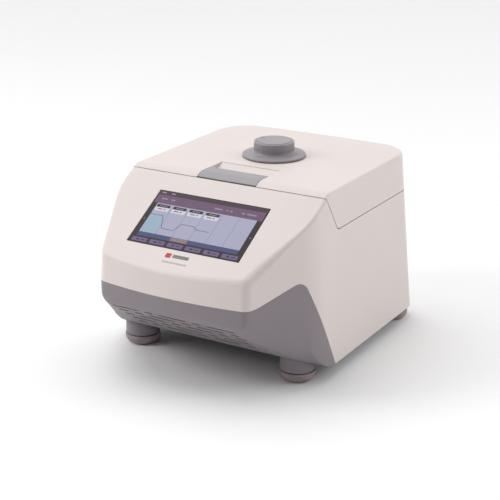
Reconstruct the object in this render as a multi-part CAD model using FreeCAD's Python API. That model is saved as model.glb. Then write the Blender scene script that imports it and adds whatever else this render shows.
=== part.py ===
import FreeCAD, Part
import math
import os

# Bench thermal cycler. Millimetres, +Z up, front towards -Y.
# The origin is on the floor, under the centre of the bounding box.

# ---------------------------------------------------------------- driving dimensions
DEPTH = 380.0
HEIGHT = 250.0
WIDTH = 300.0
UNDERSIDE_Z = 15.0              # lower edge of the white housing
SIDE_DRAFT = 0.0613             # side walls lean in by this much per mm of height
FRONT_LEAN = 0.0613             # front wall leans back by this much
FRONT_REF_Z = 102.95            # height where the front wall is furthest forward
WALL = 3.0

REAR_CORNER_LOW = 25.0          # plan radius of the rear corners at the underside
REAR_CORNER_HIGH = 45.0         # and at the lid's top edge
LID_EDGE_Z = 228.0
FLANK_ANGLE = 23.5              # degrees the flanks turn in towards the front
FLANK_BEND_R = 90.0
FLANK_BEND_Y = -65.8
FRONT_CORNER_R = 15.0
FRONT_BOW_R = 540.0

PANEL_ANGLE = 30.6              # slope of the display panel
PANEL_Y = -119.1                # centre of the display
PANEL_Z = 187.1
DISPLAY_W = 155.5
DISPLAY_L = 85.7

LID_CROWN_Z = 229.4
LID_ROLL_R = 32.0
BROW_ROUND = 12.0               # rounding of the brow between panel and front wall
SIDE_ROUND = 3.5                # rounding of the panel's and lid's side edges
SEAM_Y = -57.3                  # lid's front seam on the panel
SEAM_Z = 179.0                  # lid's side seam
SEAM_GAP = 1.0
SEAM_CORNER_R = 9.0
DECK_Z = 172.0                  # top of the housing's deck, under the lid

HINGE_Y = 183.0
HINGE_Z = 182.5
HINGE_BARREL_R = 4.2
HINGE_PIN_R = 1.75
HINGE_X = 75.0
LEAF_HALF = 20.0                # half length of the hinge's leaf and pin
LEAF_T = 2.5
ARM_HALF = 9.5
LEAF_SCREW_X = 13.0             # the leaf's screws, from its middle
LEAF_SCREW_Y = 157.0
THREAD_R = 1.5                  # shank of every small screw
HINGE_ROOM_Z = 175.0            # housing cut down to this under the lid's rear skirt
RUNNING = 0.05                  # radial clearance of running fits

BASE_EDGE_Z = 117.3             # white housing's lower edge at the front
LEG_X = 113.5
LEG_Y = -78.0
LEG_R = 21.5
LEG_FOOT_Z = 14.0
FOOT_R = 22.2
REAR_FOOT_X = 126.5
REAR_FOOT_Y = 160.0
PLATE_Z = 15.5                  # underside of the bottom plate
SHEET = 1.5                     # sheet metal and the duct's wall

# sloping underside of the base
SLOPE_TOP_Y = -190.0
SLOPE_TOP_Z = 97.0
SLOPE_LOW_Y = -108.0
SLOPE_LOW_Z = 37.0
SLOPE_DEGREES = math.degrees(math.atan2(SLOPE_TOP_Z - SLOPE_LOW_Z, SLOPE_LOW_Y - SLOPE_TOP_Y))
SLOPE_COS = math.cos(math.radians(SLOPE_DEGREES))
SLOPE_SIN = math.sin(math.radians(SLOPE_DEGREES))
BASE_REAR_Y = -48.5

# scoop in each flank of the base: along the body at the top, in to the leg at the foot
SCOOP_TOP_Z = 128.0
SCOOP_MID_Z = 55.0
SCOOP_MID_X = 142.3
SCOOP_MID_Y = -97.0
SCOOP_MID_ANGLE = 28.0
SCOOP_LOW_X = 149.5
SCOOP_LOW_Y = -88.0
SCOOP_REACH = 150.0
SCOOP_OVERRUN = 40.0            # the cutter starts this far outside the body
SCOOP_CLEAR = 0.4               # and runs out just above the body's own flank

CHIN_ROUND = 11.0               # rounding between the front band and the vented slope
CHEEK_ROUND = 18.0              # and between the flanks and the slope
CHIN_INNER_R = 8.0              # the same two inside the shell
CHEEK_INNER_R = 14.0
CHEEK_NEAR_Y = -165.0           # the flanks' edges have their middle between these
CHEEK_FAR_Y = -111.0
LEG_TOP_Z = 57.0
FLARE_Z = 37.0                  # each leg widens above this
FLARE_R = 11.0

# slots through the sloping underside, in staggered rows
VENT_ROWS = 5
VENT_FIRST = 15.0               # first row, measured down the slope from its front edge
VENT_PITCH = 16.5
VENT_LONG = 38.0
VENT_SHORT = 13.0
VENT_GAP = 8.0
VENT_WIDTH = 5.0
VENT_REACH = 86.0
VENT_STAGGER = 23.0

BLOCK_Y = 61.5                  # centre of the block, plate, screw and knob
WELL_PITCH = 9.0
WELLS_X = 12
WELLS_Y = 8
BLOCK_TOP_Z = 188.0
BLOCK_LOW_Z = 172.0
BLOCK_W = 112.0
BLOCK_L = 76.0
WELL_TOP_R = 3.1
WELL_FOOT_R = 1.4
WELL_DEPTH = 14.0
FRAME_W = 150.0
FRAME_L = 114.0
FRAME_TOP_Z = 182.5
FRAME_SKIRT_W = 134.0
FRAME_SKIRT_L = 98.0
TILE = 36.0                     # side of one Peltier module
TILE_PITCH = 37.0
SINK_L = 112.0
SINK_BASE = 8.0
FIN_PITCH = 6.0
FIN_T = 1.5
FIN_COUNT = 23
FIN_L = 92.0
FIN_LOW_Z = 118.0

PLATE_LOW_Z = 196.0             # heated plate's face with the knob fully up
HOT_PLATE_W = 116.0
HOT_PLATE_L = 80.0
HOT_PLATE_T = 6.0
CARRIER_W = 122.0
CARRIER_L = 86.0
CARRIER_T = 10.0
NUT_R = 10.0
NUT_TOP = 16.0                  # top of the screw's nut above the carrier's underside

KNOB_FLANGE_R = 40.6
KNOB_CAP_R = 25.9
KNOB_LOW_Z = 230.0
KNOB_SEAT_Z = 236.0             # end of the screw inside the knob
KNOB_CAP_Z = 247.6              # seat of the cap's disc
KNOB_RIB_R = 0.75
SCREW_R = 5.0
SCREW_LOW_Z = 203.0
KNOB_RIBS = 60
POINTER_DEGREES = 173.0
BUSH_R = 8.0
GUIDE_X = 50.0
GUIDE_Y = 33.0
GUIDE_R = 3.0
LINER_Z = 184.0

LATCH_W = 82.8
LATCH_REAR_Y = -25.5
SCOOP_REAR_Y = 2.5
LATCH_PIN_Y = -50.5
LATCH_PIN_Z = 219.5
LATCH_PIN_R = 1.5
LATCH_GAP = 2.4                 # between the latch's front edge and the seam plane
POCKET_FLOOR_Z = 214.5

DUCT_HALF = 79.5
DUCT_FRONT_Y = 6.0
DUCT_LOW_Z = 99.0
DUCT_TOP_Z = 162.5
FAN_SIZE = 60.0
FAN_HOLE = 25.0                 # the fan's screws, from its middle
FAN_HUB_R = 12.0
FAN_TIP_R = 27.3
FAN_BLADES = 7
BLADE_PITCH = 50.0
FAN_X = 36.0
FAN_Z = 132.0
FAN_FRONT_Y = 170.0
REAR_PANEL_Y = 185.0            # inner face of the rear panel
REAR_WALL_Y = DEPTH / 2.0 - WALL

INLET_X = -64.0
INLET_Z = 67.0
SOCKET_Z = 50.0
DRAWER_Z = 67.0
ROCKER_Z = 84.0
ROCKER_Y = 182.0
ROCKER_TILT = 9.0
ROCKER_PIN_R = 1.2
USB_X = 62.0
USB_Z = 62.0
REAR_HOLE_X = 93.0
GRILLE_PITCH = 7.4
GRILLE_R = 27.0
BOARD_Z = 66.0
BOARD_T = 1.6

SIN_PANEL = math.sin(math.radians(PANEL_ANGLE))
COS_PANEL = math.cos(math.radians(PANEL_ANGLE))
TAN_PANEL = math.tan(math.radians(PANEL_ANGLE))
FAR = 260.0                     # beyond the object on every side
TALL = 232.0                    # top of the lofted form, above the lid


# ---------------------------------------------------------------- small helpers
def vec(x, y, z):
    return FreeCAD.Vector(x, y, z)


def block(x0, x1, y0, y1, z0, z1):
    return Part.makeBox(x1 - x0, y1 - y0, z1 - z0, vec(x0, y0, z0))


def rod(radius, start, end):
    axis = end.sub(start)
    return Part.makeCylinder(radius, axis.Length, start, axis)


def tube(outer, inner, start, end):
    return rod(outer, start, end).cut(rod(inner, start, end))


def mirrored(shape):
    return shape.mirror(vec(0, 0, 0), vec(1, 0, 0))


def both_sides(shape):
    return Part.makeCompound([shape, mirrored(shape)])


def joined(shapes):
    result = shapes[0]
    for shape in shapes[1:]:
        result = result.fuse(shape)
    return result.removeSplitter()


def rounded_wire(corners, place):
    """Closed wire through (a, b, radius) corners, each rounded by a tangent arc."""
    count = len(corners)
    ends = []
    for i in range(count):
        a, b, radius = corners[i]
        pa, pb = corners[i - 1][:2]
        na, nb = corners[(i + 1) % count][:2]
        before = math.hypot(pa - a, pb - b)
        after = math.hypot(na - a, nb - b)
        u = ((pa - a) / before, (pb - b) / before)
        w = ((na - a) / after, (nb - b) / after)
        half = math.acos(max(-1.0, min(1.0, u[0] * w[0] + u[1] * w[1]))) / 2.0
        if radius <= 0.0:
            ends.append(((a, b), None, (a, b)))
            continue
        run = radius / math.tan(half)
        middle = radius / math.sin(half) - radius
        bis = (u[0] + w[0], u[1] + w[1])
        size = math.hypot(*bis)
        mid = (a + bis[0] / size * middle, b + bis[1] / size * middle)
        ends.append(((a + u[0] * run, b + u[1] * run), mid, (a + w[0] * run, b + w[1] * run)))
    edges = []
    for i in range(count):
        start, mid, end = ends[i]
        if mid is not None:
            edges.append(Part.Arc(place(*start), place(*mid), place(*end)).toShape())
        following = ends[(i + 1) % count][0]
        if math.hypot(following[0] - end[0], following[1] - end[1]) > 1e-6:
            edges.append(Part.LineSegment(place(*end), place(*following)).toShape())
    return Part.Wire(edges)


def side_prism(corners, x0, x1):
    """Solid from a side view: (y, z, radius) corners, pushed from x0 to x1."""
    wire = rounded_wire(corners, lambda y, z: vec(x0, y, z))
    return Part.Face(wire).extrude(vec(x1 - x0, 0, 0))


def front_prism(corners, y0, y1):
    """Solid from a front view: (x, z, radius) corners, pushed from y0 to y1."""
    wire = rounded_wire(corners, lambda x, z: vec(x, y0, z))
    return Part.Face(wire).extrude(vec(0, y1 - y0, 0))


def plan_prism(corners, z0, z1):
    """Solid from a plan view: (x, y, radius) corners, pushed from z0 to z1."""
    wire = rounded_wire(corners, lambda x, y: vec(x, y, z0))
    return Part.Face(wire).extrude(vec(0, 0, z1 - z0))


def rounded_plate(width, length, radius, cx, cy, z0, z1):
    w = width / 2.0
    h = length / 2.0
    corners = [(cx - w, cy - h, radius), (cx + w, cy - h, radius),
               (cx + w, cy + h, radius), (cx - w, cy + h, radius)]
    return plan_prism(corners, z0, z1)


def turned(profile, cx, cy):
    """Solid of revolution about a vertical axis.

    The profile lists (radius, z) points; four numbers are an arc's middle and end.
    """
    edges = []
    last = vec(cx + profile[0][0], cy, profile[0][1])
    first = last
    for item in profile[1:]:
        end = vec(cx + item[-2], cy, item[-1])
        if len(item) == 4:
            edges.append(Part.Arc(last, vec(cx + item[0], cy, item[1]), end).toShape())
        else:
            edges.append(Part.LineSegment(last, end).toShape())
        last = end
    edges.append(Part.LineSegment(last, first).toShape())
    return Part.Face(Part.Wire(edges)).revolve(vec(cx, cy, 0), vec(0, 0, 1), 360)


def on_panel(shape):
    """Lays a solid drawn flat, with its face at z = 0, onto the display panel."""
    placed = shape.copy()
    placed.rotate(vec(0, 0, 0), vec(1, 0, 0), PANEL_ANGLE)
    placed.translate(vec(0, PANEL_Y, PANEL_Z))
    return placed


def panel_z(y, depth=0.0):
    return PANEL_Z + TAN_PANEL * (y - PANEL_Y) - depth / COS_PANEL


def seam_point(down, back):
    """(y, z) from the front seam's top edge: down the seam plane, back from it."""
    top_z = panel_z(SEAM_Y)
    return (SEAM_Y + down * SIN_PANEL + back * COS_PANEL,
            top_z - down * COS_PANEL + back * SIN_PANEL)


# ---------------------------------------------------------------- outer form
def half_width(z):
    return WIDTH / 2.0 - SIDE_DRAFT * (z - UNDERSIDE_Z)


def polar(centre, radius, degrees):
    turn = math.radians(degrees)
    return (centre[0] + radius * math.cos(turn), centre[1] + radius * math.sin(turn))


def outline(z, inset):
    """Plan outline at height z, moved inwards by inset."""
    side = half_width(z)
    rise = (z - UNDERSIDE_Z) / (LID_EDGE_Z - UNDERSIDE_Z)
    rear_r = REAR_CORNER_LOW + (REAR_CORNER_HIGH - REAR_CORNER_LOW) * rise
    front = -DEPTH / 2.0 + FRONT_LEAN * (z - FRONT_REF_Z)
    turn = math.radians(FLANK_ANGLE)
    bend = (side - FLANK_BEND_R, FLANK_BEND_Y)
    bow = (0.0, front + FRONT_BOW_R)
    # The front corner's circle touches the flank line and the bow from inside.
    reach = FLANK_BEND_R - FRONT_CORNER_R
    start = (bend[0] + reach * math.cos(turn), bend[1] - reach * math.sin(turn))
    along = (-math.sin(turn), -math.cos(turn))
    gap = (start[0] - bow[0], start[1] - bow[1])
    half_b = gap[0] * along[0] + gap[1] * along[1]
    rest = gap[0] ** 2 + gap[1] ** 2 - (FRONT_BOW_R - FRONT_CORNER_R) ** 2
    run = -half_b + math.sqrt(half_b ** 2 - rest)
    corner = (start[0] + run * along[0], start[1] + run * along[1])
    bow_end = math.degrees(math.atan2(corner[1] - bow[1], corner[0] - bow[0]))
    rear = (side - rear_r, DEPTH / 2.0 - rear_r)
    right = [(rear, rear_r, 90.0, 0.0),
             (bend, FLANK_BEND_R, 0.0, -FLANK_ANGLE),
             (corner, FRONT_CORNER_R, -FLANK_ANGLE, bow_end)]
    left = [((-c[0], c[1]), r, 180.0 - b, 180.0 - a) for c, r, a, b in reversed(right)]
    arcs = right + [(bow, FRONT_BOW_R, bow_end, -180.0 - bow_end)] + left
    edges = []
    last = None
    for centre, radius, a, b in arcs:
        ends = [polar(centre, radius - inset, d) for d in (a, (a + b) / 2.0, b)]
        points = [vec(p[0], p[1], z) for p in ends]
        if last is not None and last.distanceToPoint(points[0]) > 1e-4:
            edges.append(Part.LineSegment(last, points[0]).toShape())
        edges.append(Part.Arc(*points).toShape())
        last = points[2]
    edges.append(Part.LineSegment(last, edges[0].Vertexes[0].Point).toShape())
    return Part.Wire(edges)


def plan_form(inset, z0=UNDERSIDE_Z, z1=TALL):
    return Part.makeLoft([outline(z0, inset), outline(z1, inset)], True, True)


def top_cap(drop):
    """Everything below the panel, the rolled lid front and the crowned lid top."""
    top = LID_CROWN_Z - drop
    front_low = -FAR
    vertex = PANEL_Y + (top + drop / COS_PANEL - PANEL_Z) / TAN_PANEL
    roll = side_prism([(front_low, panel_z(front_low, drop), 0), (vertex, top, LID_ROLL_R - drop),
                       (FAR, top, 0), (FAR, -FAR, 0), (front_low, -FAR, 0)], -FAR, FAR)
    edge = half_width(LID_EDGE_Z)
    sag = LID_CROWN_Z - LID_EDGE_Z
    crown_r = (edge ** 2 + sag ** 2) / (2.0 * sag)
    crown = rod(crown_r, vec(0, -FAR, top - crown_r), vec(0, FAR, top - crown_r))
    below = block(-FAR, FAR, -FAR, FAR, -FAR, top + 1.0)
    return roll.common(crown.common(below))


def rounded_edges(shape, edges):
    """Fillets the edges listed as (number, radius at its start, radius at its end)."""
    doc = FreeCAD.newDocument("rounding")
    base = doc.addObject("Part::Feature", "form")
    base.Shape = shape
    fillet = doc.addObject("Part::Fillet", "softened")
    fillet.Base = base
    fillet.Edges = edges
    doc.recompute()
    return fillet.Shape.copy()


def soften(form):
    """Rounds the rim of the top: soft at the front brow, tighter along the sides."""
    brow_top = panel_z(-DEPTH / 2.0) + 8.0
    corner_top = brow_top + 7.0
    edges = []
    for number, edge in enumerate(form.Edges, 1):
        box = edge.BoundBox
        across = abs(box.XMax + box.XMin) < 0.1
        roll_line = across and box.YLength < 1.0 and box.YMin < 0.0
        crown_line = box.XMin < 0.1 and box.XMax > -0.1 and not across and box.YMax < 0.0
        if box.ZMin < 146.0 or roll_line or crown_line or box.XLength < 1e-3:
            continue
        low, high = SIDE_ROUND, SIDE_ROUND
        if box.ZMax < brow_top:
            low, high = BROW_ROUND, BROW_ROUND
        elif box.ZMax < corner_top:
            rising = edge.valueAt(edge.FirstParameter).z < edge.valueAt(edge.LastParameter).z
            low, high = (BROW_ROUND, SIDE_ROUND) if rising else (SIDE_ROUND, BROW_ROUND)
        edges.append((number, low, high))
    return rounded_edges(form, edges)


def seam_zone(back, low_z, corner):
    """Side view of everything behind the front seam plane and above low_z."""
    high_z = TALL + 20.0
    front_z = panel_z(SEAM_Y)
    shift = back / COS_PANEL
    top_y = SEAM_Y + shift - (high_z - front_z) * TAN_PANEL
    low_y = SEAM_Y + shift + (front_z - low_z) * TAN_PANEL
    return side_prism([(top_y, high_z, 0), (low_y, low_z, corner),
                       (FAR, low_z, 0), (FAR, high_z, 0)], -FAR, FAR)


def base_zone():
    """Side view of the grey base: a front band rising to a peak beside each front leg."""
    return side_prism([(-FAR, BASE_EDGE_Z, 0), (-170.0, BASE_EDGE_Z, 60.0),
                       (-104.0, 137.5, 14.0), (BASE_REAR_Y, UNDERSIDE_Z, 0),
                       (BASE_REAR_Y, -FAR, 0), (-FAR, -FAR, 0)], -FAR, FAR)


def under_front(depth):
    """Everything below the base's sloping, vented underside, moved up by depth."""
    lift = depth / SLOPE_COS
    rise = (SLOPE_TOP_Z - SLOPE_LOW_Z) / (SLOPE_LOW_Y - SLOPE_TOP_Y) * (FAR + SLOPE_TOP_Y)
    return side_prism([(-FAR, -FAR, 0), (-FAR, SLOPE_TOP_Z + rise + lift, 0),
                       (SLOPE_LOW_Y, SLOPE_LOW_Z + lift, 20.0),
                       (-60.0, UNDERSIDE_Z + depth, 0), (FAR, UNDERSIDE_Z + depth, 0),
                       (FAR, -FAR, 0)], -FAR, FAR)


def scoop_section(point, degrees, depth, z):
    """Plan section of the scoop's cutter, outside a line through the point, turned by degrees."""
    turn = math.radians(degrees)
    out = vec(math.cos(turn), -math.sin(turn), 0)
    along = vec(out.y, -out.x, 0)
    start = vec(point.x, point.y, z) - out * depth
    rear = start - along * SCOOP_OVERRUN
    corners = [rear, start + along * SCOOP_REACH, vec(FAR, -FAR, z), vec(FAR, rear.y, z)]
    return Part.makePolygon(corners + corners[:1])


def flank_scoop(depth):
    """Cutter for the base's right flank, moved inwards by depth."""
    turn = math.radians(FLANK_ANGLE)
    reach = FLANK_BEND_R + SCOOP_CLEAR
    high = vec(half_width(SCOOP_TOP_Z) - FLANK_BEND_R + reach * math.cos(turn),
               FLANK_BEND_Y - reach * math.sin(turn), 0)
    # At the foot the line runs from the crease to the leg, and touches the leg.
    low = vec(SCOOP_LOW_X, SCOOP_LOW_Y, 0)
    gap = low - vec(LEG_X, LEG_Y, 0)
    low_angle = math.degrees(math.acos(LEG_R / gap.Length) - math.atan2(gap.y, gap.x))
    top = scoop_section(high, FLANK_ANGLE, depth, SCOOP_TOP_Z)
    middle = scoop_section(vec(SCOOP_MID_X, SCOOP_MID_Y, 0), SCOOP_MID_ANGLE, depth, SCOOP_MID_Z)
    foot = scoop_section(low, low_angle, depth, UNDERSIDE_Z - 1.0)
    return Part.makeLoft([foot, middle], True, True).fuse(Part.makeLoft([middle, top], True, True))


def slope_edges(shape, depth, near_y, far_y, radius):
    """Fillet list for the edges of the vented slope whose middle lies between two depths."""
    normal = vec(0, SLOPE_SIN, SLOPE_COS)
    level = vec(0, SLOPE_TOP_Y, SLOPE_TOP_Z).dot(normal) + depth
    edges = []
    for number, edge in enumerate(shape.Edges, 1):
        first, last = edge.FirstParameter, edge.LastParameter
        points = [edge.valueAt(first + (last - first) * share) for share in (0.0, 0.5, 1.0)]
        on_slope = max(abs(point.dot(normal) - level) for point in points) < 0.01
        if on_slope and near_y < points[1].y < far_y:
            edges.append((number, radius, radius))
    return edges


def soften_chin(shape, depth, cheek_r, chin_r):
    """Rounds the slope's edges along the flanks, then the one below the front band."""
    cheeks = slope_edges(shape, depth, CHEEK_NEAR_Y, CHEEK_FAR_Y, cheek_r)
    shape = rounded_edges(shape, cheeks)
    chin = slope_edges(shape, depth, -FAR, CHEEK_NEAR_Y, chin_r)
    return rounded_edges(shape, chin)


# ---------------------------------------------------------------- shells
def hollow():
    """Space inside the housing and base, one wall in from the outer form."""
    deck_low = DECK_Z - WALL
    down = (panel_z(SEAM_Y) - WALL * SIN_PANEL - deck_low) / COS_PANEL
    corner = seam_point(WALL, -WALL)
    foot = seam_point(down, -WALL)
    side = side_prism([(-FAR, panel_z(-FAR, WALL), 0), (corner[0], corner[1], 0),
                       (foot[0], foot[1], 0), (FAR, deck_low, 0), (FAR, -FAR, 0),
                       (-FAR, -FAR, 0)], -FAR, FAR)
    scoop = flank_scoop(WALL)
    space = plan_form(WALL).common(side).cut(under_front(WALL))
    space = space.cut(scoop).cut(mirrored(scoop))
    return soften_chin(space, WALL, CHEEK_INNER_R, CHIN_INNER_R)


def vent_slots():
    """Staggered rows of long and short slots through the sloping underside."""
    slots = []
    for row in range(VENT_ROWS):
        along = VENT_FIRST + VENT_PITCH * row
        cursor = -VENT_REACH - (row * VENT_STAGGER) % (VENT_LONG + VENT_SHORT + 2.0 * VENT_GAP)
        lengths = [VENT_LONG, VENT_SHORT] * 5
        for length in lengths:
            start = max(cursor, -VENT_REACH)
            end = min(cursor + length, VENT_REACH)
            cursor += length + VENT_GAP
            if end - start < 2.0 * VENT_WIDTH:
                continue
            middle = (start + end) / 2.0
            slots.append(rounded_plate(end - start, VENT_WIDTH, VENT_WIDTH * 0.499,
                                       middle, along, -8.0, 8.0))
    pattern = Part.makeCompound(slots)
    pattern.rotate(vec(0, 0, 0), vec(1, 0, 0), -SLOPE_DEGREES)
    pattern.translate(vec(0, SLOPE_TOP_Y, SLOPE_TOP_Z))
    return pattern


def make_base(form, space):
    scoop = flank_scoop(0.0)
    base = form.common(base_zone()).cut(under_front(0.0)).cut(scoop).cut(mirrored(scoop))
    base = soften_chin(base, 0.0, CHEEK_ROUND, CHIN_ROUND)
    leg = rod(LEG_R, vec(LEG_X, LEG_Y, LEG_FOOT_Z), vec(LEG_X, LEG_Y, LEG_TOP_Z))
    half = FLARE_R * math.sqrt(0.5)
    flare = turned([(0.0, FLARE_Z), (LEG_R, FLARE_Z),
                    (LEG_R + FLARE_R - half, FLARE_Z + half, LEG_R + FLARE_R, FLARE_Z + FLARE_R),
                    (LEG_R + FLARE_R, LEG_TOP_Z), (0.0, LEG_TOP_Z)], LEG_X, LEG_Y)
    leg = leg.fuse(flare.cut(scoop))
    base = joined([base, leg, mirrored(leg)])
    return base.cut(space).cut(vent_slots())


def make_housing(form, space):
    housing = form.cut(base_zone()).cut(space)
    open_bottom = plan_form(WALL, 5.0).common(block(-FAR, FAR, BASE_REAR_Y, FAR, 0, 20))
    seam_foot = seam_point((panel_z(SEAM_Y) - DECK_Z) / COS_PANEL, 0.0)
    seam_lip = seam_point((panel_z(SEAM_Y) - 181.0) / COS_PANEL, 0.0)
    well = side_prism([(seam_foot[0], DECK_Z, 0), (seam_lip[0], 181.0, 0),
                       (FAR, 181.0, 0), (FAR, DECK_Z, 0)], -FAR, FAR)
    well = well.common(plan_form(WALL))
    hinge_room = block(-FAR, FAR, HINGE_Y - 2.0, FAR, HINGE_ROOM_Z, 185.0)
    block_hole = rounded_plate(FRAME_SKIRT_W, FRAME_SKIRT_L, 5.0, 0, BLOCK_Y, 160.0, 181.0)
    window = on_panel(rounded_plate(DISPLAY_W + 0.6, DISPLAY_L + 0.6, 0.8, 0, 0, -8.0, 4.0))
    rear_hole = front_prism([(-REAR_HOLE_X, 34, 5), (REAR_HOLE_X, 34, 5),
                             (REAR_HOLE_X, 164, 5), (-REAR_HOLE_X, 164, 5)], 180.0, FAR)
    for tool in (open_bottom, well, hinge_room, block_hole, window, rear_hole):
        housing = housing.cut(tool)
    return housing


def make_bottom_plate():
    plate = plan_form(WALL + 0.3, 5.0).common(
        block(-FAR, FAR, BASE_REAR_Y + 0.5, FAR, PLATE_Z, PLATE_Z + SHEET))
    slots = [rounded_plate(4.0, 44.0, 1.9, x, 70.0, 10.0, 20.0) for x in range(-72, 73, 12)]
    return plate.cut(Part.makeCompound(slots))


def latch_pocket():
    """Room for the latch and, behind it, the finger scoop."""
    half = LATCH_W / 2.0 + 0.6
    bay = block(-half, half, -FAR, LATCH_REAR_Y + 0.4, POCKET_FLOOR_Z, FAR)
    scoop = side_prism([(LATCH_REAR_Y, POCKET_FLOOR_Z + 5.0, 0), (LATCH_REAR_Y, FAR, 0),
                        (SCOOP_REAR_Y, FAR, 0), (SCOOP_REAR_Y, LID_CROWN_Z - 0.6, 0)],
                       -half, half)
    return bay.fuse(scoop)


def make_lid(form):
    inner_top = top_cap(WALL)
    space = plan_form(WALL).common(inner_top).common(
        seam_zone(SEAM_GAP + WALL, SEAM_Z - 10.0, 0))
    shell_half = LATCH_W / 2.0 + 0.6 + WALL
    keep = block(-shell_half, shell_half, -FAR, SCOOP_REAR_Y + WALL,
                 POCKET_FLOOR_Z - 2.5, FAR)
    lid = form.cut(space.cut(keep)).cut(latch_pocket())
    hook_room = block(-12, 12, -58.0, -26.0, POCKET_FLOOR_Z - 5.0, POCKET_FLOOR_Z + 1.0)
    corners = [seam_point(13.5, -3.0), seam_point(13.5, 7.0),
               seam_point(60.0, 7.0), seam_point(60.0, -3.0)]
    striker_slot = side_prism([(y, z, 0) for y, z in corners], -16, 16)
    lid = lid.cut(hook_room).cut(striker_slot)
    for x in (-GUIDE_X, GUIDE_X):
        for y in (BLOCK_Y - GUIDE_Y, BLOCK_Y + GUIDE_Y):
            boss = tube(6.0, GUIDE_R + RUNNING, vec(x, y, 214.0), vec(x, y, TALL))
            lid = lid.fuse(boss.common(inner_top))
            lid = lid.cut(rod(GUIDE_R + RUNNING, vec(x, y, 210.0), vec(x, y, 225.0)))
    lid = lid.cut(rod(BUSH_R, vec(0, BLOCK_Y, 200.0), vec(0, BLOCK_Y, 240.0)))
    pin_end = shell_half - 0.5
    lid = lid.cut(rod(LATCH_PIN_R, vec(-pin_end, LATCH_PIN_Y, LATCH_PIN_Z),
                      vec(pin_end, LATCH_PIN_Y, LATCH_PIN_Z)))
    notch = block(HINGE_X - 22.0, HINGE_X + 22.0, HINGE_Y - 10.0, FAR, 170.0, 188.5)
    return lid.cut(both_sides(notch)).removeSplitter()


def make_liner():
    liner = plan_form(WALL + 0.3).common(block(-FAR, FAR, -26.0, 176.0, LINER_Z, LINER_Z + 3))
    window = rounded_plate(130.0, 94.0, 7.0, 0, BLOCK_Y, 170.0, 200.0)
    return liner.cut(window)


# ---------------------------------------------------------------- latch
def make_latch(form):
    half = LATCH_W / 2.0
    bay = block(-half, half, -FAR, LATCH_REAR_Y, 200.0, FAR)
    plate = form.common(bay).common(seam_zone(LATCH_GAP, 200.0, 0)).cut(top_cap(WALL))
    hook_corners = [seam_point(3.0, 9.0), seam_point(3.0, 15.0), seam_point(26.0, 15.0),
                    seam_point(26.0, 6.2), seam_point(22.0, 6.2), seam_point(22.0, 12.0),
                    seam_point(8.0, 12.0), seam_point(6.0, 9.0)]
    hook = side_prism([(y, z, 0) for y, z in hook_corners], -9.0, 9.0)
    hook = hook.common(top_cap(1.0))
    latch = joined([plate, hook])
    for x in (-36.0, 36.0):
        boss = rod(3.2, vec(x - 4.0, LATCH_PIN_Y, LATCH_PIN_Z),
                   vec(x + 4.0, LATCH_PIN_Y, LATCH_PIN_Z))
        web = block(x - 4.0, x + 4.0, LATCH_PIN_Y, LATCH_PIN_Y + 3.0,
                    LATCH_PIN_Z, LATCH_PIN_Z + 3.5)
        latch = latch.fuse(boss).fuse(web)
    bore = rod(LATCH_PIN_R + RUNNING, vec(-50, LATCH_PIN_Y, LATCH_PIN_Z),
               vec(50, LATCH_PIN_Y, LATCH_PIN_Z))
    return latch.cut(bore).removeSplitter()


def make_latch_pin():
    reach = LATCH_W / 2.0 + 3.0
    return rod(LATCH_PIN_R, vec(-reach, LATCH_PIN_Y, LATCH_PIN_Z),
               vec(reach, LATCH_PIN_Y, LATCH_PIN_Z))


def make_latch_spring():
    """Torsion spring coiled round the latch pin."""
    coil = Part.makeHelix(1.3, 9.1, 2.3)
    start = coil.Edges[0].valueAt(coil.Edges[0].FirstParameter)
    section = Part.Wire(Part.makeCircle(0.4, start, vec(0, 1, 0)))
    spring = Part.Wire(coil.Edges).makePipeShell([section], True, True)
    spring.rotate(vec(0, 0, 0), vec(0, 1, 0), 90)
    spring.translate(vec(16.0, LATCH_PIN_Y, LATCH_PIN_Z))
    return spring


def make_striker():
    base = [seam_point(15.5, 0.0), seam_point(15.5, 2.0), seam_point(31.0, 2.0),
            seam_point(31.0, 0.0)]
    lip = [seam_point(18.0, 1.0), seam_point(18.0, 8.5), seam_point(21.0, 8.5),
           seam_point(21.0, 1.0)]
    return joined([side_prism([(y, z, 0) for y, z in base], -13.0, 13.0),
                   side_prism([(y, z, 0) for y, z in lip], -10.0, 10.0)])


# ---------------------------------------------------------------- lid drive
def make_knob():
    knob = turned([(0, KNOB_SEAT_Z), (SCREW_R, KNOB_SEAT_Z), (SCREW_R, KNOB_LOW_Z), (39.6, KNOB_LOW_Z),
                   (40.4, 230.2, KNOB_FLANGE_R, 231), (KNOB_FLANGE_R, 231.6),
                   (40.3, 232.4, 39.4, 232.7), (30.5, 234.0),
                   (27.3, 234.9, 26.2, 237.6), (KNOB_CAP_R, 247.8),
                   (25.5, 248.8, 24.6, 249.2), (22.6, 249.2), (22.6, KNOB_CAP_Z),
                   (0, KNOB_CAP_Z)],
                  0, BLOCK_Y)
    grooves = []
    for i in range(KNOB_RIBS):
        turn = 2.0 * math.pi * i / KNOB_RIBS
        x = (KNOB_CAP_R + 0.55) * math.cos(turn)
        y = BLOCK_Y + (KNOB_CAP_R + 0.55) * math.sin(turn)
        grooves.append(rod(KNOB_RIB_R, vec(x, y, KNOB_SEAT_Z + 2.5), vec(x, y, KNOB_CAP_Z)))
    return knob.cut(Part.makeCompound(grooves))


def make_knob_cap():
    cap = turned([(0, KNOB_CAP_Z), (22.4, KNOB_CAP_Z), (22.4, 249.4), (22.0, 249.75, 21.5, 249.8),
                  (0, HEIGHT)], 0, BLOCK_Y)
    pointer = block(14.5, 24.0, BLOCK_Y - 0.8, BLOCK_Y + 0.8, HEIGHT - 1.0, HEIGHT + 1.0)
    pointer.rotate(vec(0, BLOCK_Y, 0), vec(0, 0, 1), POINTER_DEGREES)
    return cap.cut(pointer)


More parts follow.
